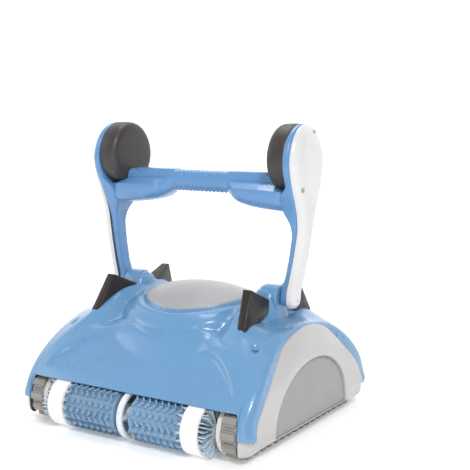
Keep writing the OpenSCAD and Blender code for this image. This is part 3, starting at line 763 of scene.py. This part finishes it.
def track_path(count=900):
    """Evenly spaced points, outward normals and directions round the track's outer band, in (y, z)."""
    around = []
    for y, z, r in ((WHEEL[1], WHEEL[2], BAND_OUT), (0.0, PULLEY[2], PULLEY_OUT),
                    (-WHEEL[1], WHEEL[2], BAND_OUT)):
        around += [(y + r * math.cos(a), z + r * math.sin(a)) for a in full_turn(240)]
    hull = convex(around)
    loop = np.array(hull + [hull[0]])
    points = resample(np.column_stack([np.zeros(len(loop)), loop]), count + 1)[:-1, 1:]
    along = np.roll(points, -1, 0) - np.roll(points, 1, 0)
    along /= np.linalg.norm(along, axis=1)[:, None]
    return points, np.column_stack([along[:, 1], -along[:, 0]]), along


def convex(points):
    """Convex hull, turning left."""
    points = sorted(set(points))

    def half(sequence):
        chain = []
        for p in sequence:
            while len(chain) > 1 and ((chain[-1][0] - chain[-2][0]) * (p[1] - chain[-2][1])
                                      - (chain[-1][1] - chain[-2][1]) * (p[0] - chain[-2][0])) <= 0:
                chain.pop()
            chain.append(p)
        return chain[:-1]

    return half(points) + half(points[::-1])


def add_tracks():
    """Each track: a band with raised borders, and lugs with a bar on a lower, wider foot."""
    points, normals, along = track_path()
    x0, x1 = TRACK_LOW[0], TRACK_HIGH[0]
    section = [(x0, -3.2), (x0, -0.9), (x0 + 0.9, 0), (x0 + 5, 0), (x0 + 6, -0.7), (x1 - 6, -0.7),
               (x1 - 5, 0), (x1 - 0.9, 0), (x1, -0.9), (x1, -3.2)]
    rows = [[(x, *(p + n * h)) for x, h in section] for p, n in zip(points, normals)]
    perimeter = np.linalg.norm(np.roll(points, -1, 0) - points, axis=1).sum()
    lugs = round(perimeter / LUG_PITCH)
    for name, side in SIDES.items():
        soup = Soup()
        soup.grid(mirror_x(rows, side), wrap_rows=True, wrap_columns=True)
        for k in range(lugs):
            i = int(k * len(points) / lugs)

            def place(q):
                # q: along x, along the band, out from it
                return (side * q[0], *(points[i] + along[i] * q[1] + normals[i] * q[2]))

            soup.block((x0 + 0.2, -5.6, -1.4), (x1 - 0.2, 5.6, LUG_HEIGHT * 0.98), 1.1, place)
            soup.block((x0 + 3, -8.2, -1.2), (x1 - 3, 8.2, LUG_HEIGHT * 0.42), 0.8, place)
        obj = soup.piece(f"track_belt_{name}", "track_rubber", "body", 30)
        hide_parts(f"track_{name}")


# ---- Brushes ----

NUB_ROWS, NUBS_PER_ROW = 12, 8
NUB_ROOT, NUB_HEIGHT = -0.6, 5.0  # from the sleeve's skin
SKIN_R = BRUSH_R - 6.0
BLADES = 18


def brush_span(node):
    """The stretch of X that a part of a brush covers, as distances from the middle."""
    low, high = box_mm(node)
    return sorted((abs(low[0]), abs(high[0])))


def brush_point(end, side, x, radius, angle):
    """A point round a brush's axle."""
    return (SIDES[side] * x, ENDS[end] * abs(BRUSH[1]) + radius * math.cos(angle),
            BRUSH[2] + radius * math.sin(angle))


def brush_rings(end, side, profile, steps):
    return mirror_x(turned(profile, (0, ENDS[end] * abs(BRUSH[1]), BRUSH[2]), steps=steps), SIDES[side])


def add_brush_skin(end, side):
    """The sleeve: rows of bars and rows of slanted pairs in turn, with a thin rib along each row."""
    x0, x1 = brush_span(f"brush_{end}_{side}")
    x0 = max(x0, 13.5)
    soup = Soup()
    soup.loft(brush_rings(end, side, rounded(x0, x1, SKIN_R, 1.2, 14.3), 84), caps=False)
    pitch = (x1 - x0 - 4) / NUBS_PER_ROW
    for row in range(NUB_ROWS):
        turn = 2 * math.pi * (row + 0.25) / NUB_ROWS

        def place(q):
            # q: along x, round the drum, out from the drum's skin
            return brush_point(end, side, q[0], SKIN_R + q[2], turn + q[1] / SKIN_R)

        for k in range(NUBS_PER_ROW):
            x = x0 + 2 + pitch * (k + 0.5)
            if row % 2:
                soup.block((x - 3.0, -2.6, NUB_ROOT), (x + 3.0, 2.6, NUB_HEIGHT), 0.6, place)
                continue
            for leg in (-1, 1):
                def slant(q):
                    return place((x + q[0] - 0.8 * leg * q[1] + 2.6, q[1], q[2]))

                y0, y1 = sorted((leg * 0.1, leg * 7.4))
                soup.block((-1.9, y0, NUB_ROOT), (1.9, y1, NUB_HEIGHT), 0.5, slant)
        soup.block((x0 + 1.5, -0.7, NUB_ROOT), (x1 - 1.5, 0.7, 1.5), 0.3, place)
    obj = soup.piece(f"brush_skin_{end}_{side}", "brush_blue", f"brush_{end}_{side}", 30)
    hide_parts(f"brush_{end}_{side}")


def add_sponge_ring(end, side):
    """White climbing ring with soft shoulders."""
    x0, x1 = brush_span(f"climbing_ring_{end}_{side}")
    outer = [(0, 1.6), (0.5, 0.5), (1.6, 0.1)]  # from its end, below its full radius
    root = BRUSH_R - 5.4
    hoop = [(x0, root)] + [(x0 + step, BRUSH_R - drop) for step, drop in outer]
    hoop += [(x1 - step, BRUSH_R - drop) for step, drop in outer[::-1]] + [(x1, root), (x0, root)]
    soup = Soup()
    soup.grid(brush_rings(end, side, hoop, 96), wrap_columns=True)
    obj = soup.piece(f"sponge_ring_{end}_{side}", "ring_white", f"brush_{end}_{side}", 35)
    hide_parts(f"climbing_ring_{end}_{side}")


def add_blades(end, side):
    """Blades beside the ring: long leaning ones at its outer end, short ones over the sleeve."""
    x0, x1 = brush_span(f"climbing_ring_{end}_{side}")
    # root, tip, lowest and highest radius, half thickness, lean
    kinds = ((x1 - 3, x1 + 10.5, 13.5, BRUSH_R - 1.5, 1.5, 0.16),
             (x0 + 2.0, x0 - 8.5, BRUSH_R - 7.5, BRUSH_R - 1.2, 3.4, 0.0))
    soup = Soup()
    for k in range(BLADES):
        turn = 2 * math.pi * k / BLADES
        for root, tip, r_low, r_high, wide, lean in kinds:
            points = []
            for x, rad, half in ((root, r_low, wide), (root, r_high - 3.5, wide), (tip, r_high, 0.5),
                                 (tip, lerp(r_low, r_high, 0.45), 0.6)):
                middle = turn + lean * (rad / BRUSH_R)
                points += [brush_point(end, side, x, rad, middle + thick / rad) for thick in (-half, half)]
            soup.add(points, [(0, 2, 4, 6), (1, 7, 5, 3), (0, 1, 3, 2),
                              (2, 3, 5, 4), (4, 5, 7, 6), (6, 7, 1, 0)])
    soup.piece(f"brush_blades_{end}_{side}", "core_white", f"brush_{end}_{side}", 30)


HOOP_R, HOOP_HALF_X, HOOP_HALF_R = 32.2, 4.6, 3.4
GUARD_REACH = 128.2  # where its arm meets the chassis


def add_brackets():
    """Centre guard: an open hoop round a hub, on an arm from the chassis."""
    hoop = [(HOOP_HALF_X * squared(math.cos(a), 0.6), HOOP_R + HOOP_HALF_R * squared(math.sin(a), 0.6))
            for a in full_turn(20)]
    for end, sign in ENDS.items():
        y, z = sign * abs(BRUSH[1]), BRUSH[2]
        rings = np.array(turned(hoop, (0, -abs(y), z), steps=64, start=37, end=322)) * (1, -sign, 1)
        soup = Soup()
        soup.loft(np.swapaxes(rings, 0, 1))
        soup.loft(turned(rounded(-5.5, 5.5, 11, 1.5), (0, y, z)), caps=False)
        soup.loft(turned(rounded(-34, 34, 6, 0.8), (0, y, z)), caps=False)
        y0, y1 = sorted((y - sign * 4, sign * GUARD_REACH))
        soup.block((-3.2, y0, z - 3), (3.2, y1, z + 4.5), 0.5)
        y0, y1 = sorted((y + sign * 8, y + sign * 30))
        soup.block((-2.8, y0, z - 2.5), (2.8, y1, z + 2.5), 0.5)
        obj = soup.piece(f"guard_hoop_{end}", "bracket_white", "body", 40)
        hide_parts(f"brush_bracket_{end}")


# ---- Handle ----

EAR_Z = 391.0  # middle of an arm's round head
# Half widths of an arm's blue frame and of its white cover, over heights.
HALF_Z = [186, 205, 290, 305, 320, 338, 354, 366, 378, 391]
FRAME_HALF = [12, 11.5, 13, 16, 22, 31.5, 40, 46.5, 52, 54.5]
COVER_HALF = [14.5, 15, 15.8, 17.5, 22, 30, 38, 43, 47, 49.5]
# Steps round an arm's edge: foot from -1 to 0, straight part to 1, head to 2.
ARM_T = np.concatenate([np.linspace(-1, 0, 10)[:-1], np.linspace(0, 1, 44)[:-1], np.linspace(1, 2, 24)])
# An arm's outer and inner face, and how far its cover swells out, over heights.
OUT_Z = [160, 204, 225, 257, 290, 321, 340, 392, 460]
OUT_X = [154, 155.5, 160.5, 166.5, 171.5, 173, 173.5, 173.5, 172.5]
IN_Z = [160, 205, 225, 257, 288, 305, 321, 338, 350, 356, 460]
IN_X = [141.3, 143.5, 150.5, 156.5, 160.5, 158, 150, 150, 154, 164.0, 164.5]
SWELL_Z = [160, 196, 225, 257, 290, 330, 392, 460]
SWELL = [11.5, 12.5, 12, 12.5, 12.2, 13, 13.5, 12]
COVER_ROLL = 0.48  # part of a cover's half width that its edge rolls over
BAR_LOW, BAR_HIGH, BAR_END = 344.3, 376, 152  # the grip bar
GRIP_Y, GRIP_Z, GRIP_POWER = 15.5, 15.9, 0.75  # half depth and height of its rounded section
DOT_ROWS, DOTS_PER_ROW, DOT_SPAN, DOT_Z = 18, 13, 92, 360.0


def smooth_table(z_values, x_values):
    """A smooth curve through a few points."""
    z_fine = np.linspace(z_values[0], z_values[-1], 240)
    x_fine = np.interp(z_fine, z_values, x_values)
    kernel = np.hanning(15)
    padded = np.pad(x_fine, 7, mode="edge")
    x_soft = np.convolve(padded, kernel / kernel.sum(), mode="valid")
    return lambda z: float(np.interp(z, z_fine, x_soft))


frame_half = smooth_table(HALF_Z, FRAME_HALF)
cover_half = smooth_table(HALF_Z, COVER_HALF)
frame_out = smooth_table(OUT_Z, OUT_X)
frame_in = smooth_table(IN_Z, IN_X)
cover_swell = smooth_table(SWELL_Z, SWELL)


def arm_edge(inset, half=frame_half, top=0.0, scale=1.0):
    """One side of an arm's outline from its foot to its top, as (y, z)."""
    edge = []
    foot_r, ear_r = half(PIVOT_Z) * scale - inset, half(EAR_Z) * scale - inset
    rise = (HANDLE_TOP - EAR_Z - top) * scale - inset
    for t in ARM_T:
        if t < 0:
            a = math.pi / 2 * (1 + t)
            edge.append((foot_r * math.sin(a), PIVOT_Z - foot_r * math.cos(a)))
        elif t < 1:
            z = lerp(PIVOT_Z, EAR_Z, t)
            edge.append((half(z) * scale - inset, z))
        else:
            a = math.pi / 2 * (t - 1)
            edge.append((ear_r * math.cos(a), EAR_Z + rise * math.sin(a)))
    return edge


def arm_ring(inset, x_of_z, half=frame_half, top=0.0, scale=1.0):
    """An arm's whole outline, on a face that lies at x_of_z(z)."""
    right = arm_edge(inset, half, top, scale)
    ring = [(x_of_z(z), y, z) for y, z in right]
    ring += [(x_of_z(z), -y, z) for y, z in right[-2:0:-1]]
    return ring


def arm_face(inset, x_of_z):
    """Fills an arm's face with rows that run from one edge to the other."""
    return [[(x_of_z(z), y * k, z) for k in np.linspace(-1, 1, 9)] for y, z in arm_edge(inset)]


def add_arm_frame(soup, side):
    """The blue half of an arm: a shell with rounded edges, dished where the float sits."""
    steps = ((3.2, 0.0), (1.4, 0.5), (0.4, 1.6), (0.0, 3.2))
    rings = [arm_ring(inset, lambda z, d=d: frame_in(z) + d) for inset, d in steps]
    rings += [arm_ring(inset, lambda z, d=d: frame_out(z) - d) for inset, d in steps[::-1]]
    soup.loft(mirror_x(rings, side), caps=False)
    for face in (frame_in, frame_out):
        soup.grid(mirror_x(arm_face(steps[0][0], face), side))


def bar_section(half_y, low, high, power, count=48):
    """Rounded section: a smaller power gives squarer corners."""
    middle = lerp(low, high, 0.62)
    ring = []
    for a in full_turn(count):
        reach = high - middle if math.sin(a) > 0 else middle - low
        ring.append((half_y * squared(math.cos(a), power), middle + reach * squared(math.sin(a), power)))
    return ring


def ledge_section(half_y, low, edge, top):
    """Section of the ledge: a top that slopes down to a crisp edge, and a rounded belly."""
    belly = [(half_y * math.cos(a) ** 0.55, edge - 1.2 - (edge - 1.2 - low) * math.sin(a) ** 0.8)
             for a in np.linspace(0, math.pi / 2, 12)]
    crown = [(half_y - 0.2, edge - 0.4), (half_y - 1.0, edge + 0.1),
             (lerp(half_y, 13.5, 0.5), lerp(edge, top, 0.5)), (min(13.5, half_y - 2), top), (0, top)]
    right = crown[::-1] + belly
    return right + [(-y, z) for y, z in right[-2:0:-1]]


# x, half depth, bottom, edge and top of the ledge beside an arm; x, half depth and top of the block on it.
LEDGE = ((47, 12.0, 346, 357, 359), (51, 15.8, 344, 359, 363), (56, 18.8, 340.5, 359.5, 364.5),
         (64, 25.5, 336, 356.5, 364.8), (70, 30.0, 332.5, 354.5, 365), (80, 32.0, 329, 353.8, 365),
         (95, 32.8, 325.8, 353.4, 365), (112, 33.2, 323.6, 353, 365), (130, 33.5, 322.3, 352.5, 364),
         (142, 33.0, 321.6, 352, 360), (150, 30.0, 321, 351.5, 356), (158, 26.0, 321, 350, 354))
BLOCK = ((50, 12.0, 374.5), (51, 13.2, 376.6), (52.5, 13.8, 377.4), (116.5, 13.8, 377.8), (118, 13.2, 377),
         (119, 12, 375))
BLOCK_LOW = 364.5


def add_bar(soup):
    """Grip bar: a round middle, a ledge that swells forward and back near each arm, a block on top."""
    section = bar_section(GRIP_Y, BAR_LOW, BAR_HIGH, GRIP_POWER)
    soup.loft([[(x, y, z) for y, z in section] for x in np.linspace(-BAR_END, BAR_END, 60)])
    for side in (-1, 1):
        soup.loft([[(side * x, y, z) for y, z in ledge_section(*sizes)] for x, *sizes in LEDGE])
        soup.loft([[(side * x, y, z) for y, z in bar_section(half, BLOCK_LOW, high, 0.3)]
                   for x, half, high in BLOCK])


def add_grip_dots(soup):
    """Rows of small raised dots on the middle of the grip."""
    ahead = Vector((1, 0, 0))
    for row in range(DOT_ROWS):
        a = 2 * math.pi * row / DOT_ROWS
        c, s = math.cos(a), math.sin(a)
        out = Vector((0, c / GRIP_Y, s / GRIP_Z)).normalized()
        aside = out.cross(ahead)
        for k in range(DOTS_PER_ROW):
            x = DOT_SPAN * ((k + (0.5 if row % 2 else 0)) / DOTS_PER_ROW - 0.5)
            foot = Vector((x, GRIP_Y * squared(c, GRIP_POWER), DOT_Z + GRIP_Z * squared(s, GRIP_POWER)))
            soup.loft([[foot + out * rise + (ahead * math.cos(b) + aside * math.sin(b)) * radius
                        for b in full_turn(8)] for radius, rise in ((1.9, -0.4), (1.5, 0.35), (0.7, 0.75))])


def add_handle():
    soup = Soup()
    for side in (-1, 1):
        add_arm_frame(soup, side)
    add_bar(soup)
    add_grip_dots(soup)
    obj = soup.piece("handle_body", "handle_blue", "handle", 40)
    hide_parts("handle_frame")


def cover_face(z, turn):
    """X of a cover where its edge has rolled over by the angle turn."""
    return frame_out(z) + 0.2 + (cover_swell(z) - 0.8) * math.sin(turn)


def cover_x(y, z):
    """Outer face of an arm cover at the point y, z."""
    out = math.hypot(y / cover_half(min(z, EAR_Z)), max(0, z - EAR_Z) / (HANDLE_TOP - EAR_Z - 1.0))
    return cover_face(z, math.acos(max(0.0, 1 - max(0.0, 1 - out) / COVER_ROLL)))


def add_covers():
    """White outer covers: domed, with the edge rolled over in an ellipse."""
    rings = [arm_ring(0.6, lambda z: frame_out(z) - 0.3, cover_half, 1.5)]
    for turn in np.radians((0, 8, 16, 26, 38, 50, 62, 74, 84)):
        scale = 1 - COVER_ROLL * (1 - math.cos(turn))
        rings.append(arm_ring(0, lambda z: cover_face(z, turn), cover_half, 1.0, scale))
    rows = [[(cover_face(z, turn) + 0.8 * (1 - k * k), y * k, z) for k in np.linspace(-1, 1, 17)]
            for y, z in arm_edge(0, cover_half, 1.0, scale)]
    for name, side in SIDES.items():
        soup = Soup()
        soup.loft(mirror_x(rings, side), caps=False)
        soup.grid(mirror_x(rows, side))
        obj = soup.piece(f"cover_skin_{name}", "cover_white", "handle", 50)
        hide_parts(f"arm_cover_{name}")


PAD_HALF_Y, PAD_HALF_Z, PAD_MIDDLE = 51.3, 49, 400.2
# x and inset of a float's rings, from its root in the arm to the middle of its face
PAD_RINGS = ((165, 2.0), (163.5, 0.6), (161, 0.0), (150, 0.0), (143, 0.4), (139.2, 1.6), (136.4, 4.0),
             (134.8, 7.4), (134.1, 12.0), (133.7, 18.0), (133.4, 26.0), (133.2, 36.0), (133.1, 46.0))


def pad_edge(inset, count=72):
    """Egg outline of a float, as (y, z)."""
    return [((PAD_HALF_Y - inset) * math.cos(a) * (1 - 0.05 * math.sin(a)),
             PAD_MIDDLE + (PAD_HALF_Z - inset) * math.sin(a)) for a in full_turn(count)]


def add_pads():
    """Foam floats: thick pads with a wide soft edge and a slightly crowned face."""
    for name, side in SIDES.items():
        soup = Soup()
        soup.loft([[(side * x, y, z) for y, z in pad_edge(inset)] for x, inset in PAD_RINGS])
        obj = soup.piece(f"float_foam_{name}", "float_dark", "handle", 60)
        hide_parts(f"float_pad_{name}")


def screw(soup, centre, side, radius, axis="x"):
    """A recessed screw head: a rim round a sunk face."""
    profile = [(0, radius), (0.5, radius), (0.9, radius - 0.35), (0.9, radius * 0.62),
               (0.3, radius * 0.5), (0.3, 0.02)]
    rings = np.array(turned(profile, (0, 0, 0), axis, 28))
    if axis == "x":
        rings[..., 0] *= side
    soup.loft(rings + np.array(centre), caps=False)


def add_screws():
    soup = Soup()
    for side in (-1, 1):
        for y, z in ((-27.0, 355.0), (10.0, 437.0), (0.0, PIVOT_Z)):
            screw(soup, (side * (cover_x(y, z) - 0.1), y, z), side, 3.4)
    obj = soup.piece("cover_screws", "steel", "handle", 40)
    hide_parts("handle_screws")
    soup = Soup()
    seat_z = surface(*SCREW_PLACE) - 0.1
    for sx in (-1, 1):
        for sy in (-1, 1):
            screw(soup, (sx * SCREW_PLACE[0], sy * SCREW_PLACE[1], seat_z), 1, 4.2, "z")
            screw(soup, (sx * 195.6, sy * 60, 107), sx, 3.0)
    obj = soup.piece("shell_screws", "steel", "body", 40)
    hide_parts("body_screws")


# ---- Underside ----


def rectangle(half_x, half_y, radius, count):
    """Points evenly round a rectangle with rounded corners."""
    path = []
    for cx, cy, start in ((1, 1, 0), (-1, 1, 90), (-1, -1, 180), (1, -1, 270)):
        for a in np.radians(np.linspace(start, start + 90, 8)):
            path.append((cx * (half_x - radius) + radius * math.cos(a),
                         cy * (half_y - radius) + radius * math.sin(a), 0))
    path.append(path[0])
    return resample(path, count + 1)[:-1, :2]


BAG_POINTS, BAG_RIBS, BAG_SAG = 96, 12, 1.6


def add_bag():
    """Filter bag: a cloth box that sags between the ribs of its frame."""
    low, high = box_mm("filter_bag")
    rings = []
    for z, inset in ((low[2], 3.0), (low[2] + 2, 0.8), (30, 0), (42, 0), (54, 0),
                     (high[2] - 2, 0.8), (high[2], 3.0)):
        ring = []
        for i, (x, y) in enumerate(rectangle(high[0] - 0.4 - inset, high[1] - 0.4 - inset, 8, BAG_POINTS)):
            wave = 0.5 - 0.5 * math.cos(i / BAG_POINTS * 2 * math.pi * BAG_RIBS)
            sag = BAG_SAG * wave * math.sin(math.pi * (z - low[2]) / 50)
            shrink = 1 - max(0, sag) / math.hypot(x, y)
            ring.append((x * shrink, y * shrink, z))
        rings.append(ring)
    soup = Soup()
    soup.loft(rings)
    obj = soup.piece("bag_cloth", "bag_fabric", "lid", 50)
    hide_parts("filter_bag")


# ---- CAD nodes that stay ----


def finish_cad_nodes():
    slots = {part["node"]: part["material_slot"] for part in frame["record"]["subparts"]}
    for node, obj in frame["nodes"].items():
        obj.data.materials.clear()
        obj.data.materials.append(M[slots[node]])


# ---- Stage ----

WALL_START, WALL_BEND, WALL_TOP = 1.6, 1.2, 6.0  # metres
WALL_AWAY, WALL_ACROSS, WALL_HALF = np.array((-0.525, 0.851, 0)), np.array((0.851, 0.525, 0)), 8.0


def glowing(name, colour, roughness, strength):
    material, tree, shader = new_material(name, colour, roughness)
    shader.inputs["Emission Color"].default_value = (1, 1, 1, 1)
    shader.inputs["Emission Strength"].default_value = strength
    return material, tree, shader


def stage_piece(name, material, points, faces):
    mesh = bpy.data.meshes.new(name)
    mesh.from_pydata(points, [], faces)
    obj = link(bpy.data.objects.new(name, mesh))
    obj.data.materials.append(material)


def add_stage():
    """A pale floor, and a bright wall square to the camera that curves up from it."""
    material, tree, shader = glowing("studio_floor", (0.93, 0.93, 0.93), 0.85, 0.22)
    tone = noise_node(tree, 3.0)
    mix = ramp_node(tree, tone.outputs["Fac"], (0.92, 0.92, 0.92), (0.94, 0.94, 0.94))
    tree.links.new(mix.outputs["Color"], shader.inputs["Base Color"])
    stage_piece("floor", material, [(-9, -9, 0), (9, -9, 0), (9, 9, 0), (-9, 9, 0)], [(0, 1, 2, 3)])
    material, _, _ = glowing("studio_wall", (0.9, 0.9, 0.9), 1.0, 0.62)
    profile = [(WALL_START + WALL_BEND * math.sin(a), 0.002 + WALL_BEND * (1 - math.cos(a)))
               for a in np.linspace(0, math.pi / 2, 14)] + [(WALL_START + WALL_BEND, WALL_TOP)]
    points = [tuple(WALL_AWAY * away + WALL_ACROSS * way + (0, 0, high))
              for away, high in profile for way in (-WALL_HALF, WALL_HALF)]
    stage_piece("wall", material, points, grid_faces(len(profile), 2))


def add_light(name, place, size, power):
    """A white area light that faces the middle of the part."""
    light = bpy.data.lights.new(name, "AREA")
    light.shape = "RECTANGLE"
    light.size, light.size_y = size
    light.energy = power
    obj = link(bpy.data.objects.new(name, light))
    obj.location = place
    obj.rotation_euler = (Vector((0, 0, 0.18)) - Vector(place)).to_track_quat("-Z", "Y").to_euler()


def add_lights():
    world = bpy.data.worlds.new("studio")
    world.use_nodes = True
    world.node_tree.nodes["Background"].inputs["Color"].default_value = (1, 1, 1, 1)
    world.node_tree.nodes["Background"].inputs["Strength"].default_value = 0.42
    bpy.context.scene.world = world
    add_light("key", (1.35, -1.35, 1.9), (0.6, 0.6), 30)
    add_light("left_fill", (-1.8, -1.0, 1.1), (0.7, 1.2), 6)
    add_light("front_strip", (0.55, -2.2, 0.55), (0.35, 1.4), 5)
    add_light("top", (-0.3, 0.5, 2.2), (0.9, 0.9), 12)


def add_camera():
    """The viewing angle: azimuth and elevation of the camera, its roll, lens and distance."""
    azimuth, elevation, roll = (math.radians(v) for v in (31.166, 6.423, 0.876))
    target, distance = Vector((0.057515, 0, 0.280212)), 1.3902
    back = Vector((math.sin(azimuth) * math.cos(elevation), -math.cos(azimuth) * math.cos(elevation),
                   math.sin(elevation)))
    right = Vector((math.cos(azimuth), math.sin(azimuth), 0))
    up = back.cross(right)
    rolled_right = right * math.cos(roll) + up * math.sin(roll)
    rolled_up = up * math.cos(roll) - right * math.sin(roll)
    camera = bpy.data.cameras.new("camera")
    camera.lens, camera.sensor_width = 70.2, 36.0
    obj = link(bpy.data.objects.new("camera", camera))
    turn = Matrix((rolled_right, rolled_up, back)).transposed()
    obj.matrix_world = Matrix.Translation(target + back * distance) @ turn.to_4x4()
    bpy.context.scene.camera = obj


finish_cad_nodes()
add_camera()
add_shell()
add_bosses()
add_cap()
for name, side in SIDES.items():
    add_panel(name, side)
    add_inset(name, side)
add_fins()
add_tracks()
for end, side in CORNERS:
    add_brush_skin(end, side)
    add_sponge_ring(end, side)
    add_blades(end, side)
add_brackets()
add_handle()
add_covers()
add_pads()
add_screws()
add_bag()
add_stage()
add_lights()
bpy.context.scene.view_settings.view_transform = "Standard"
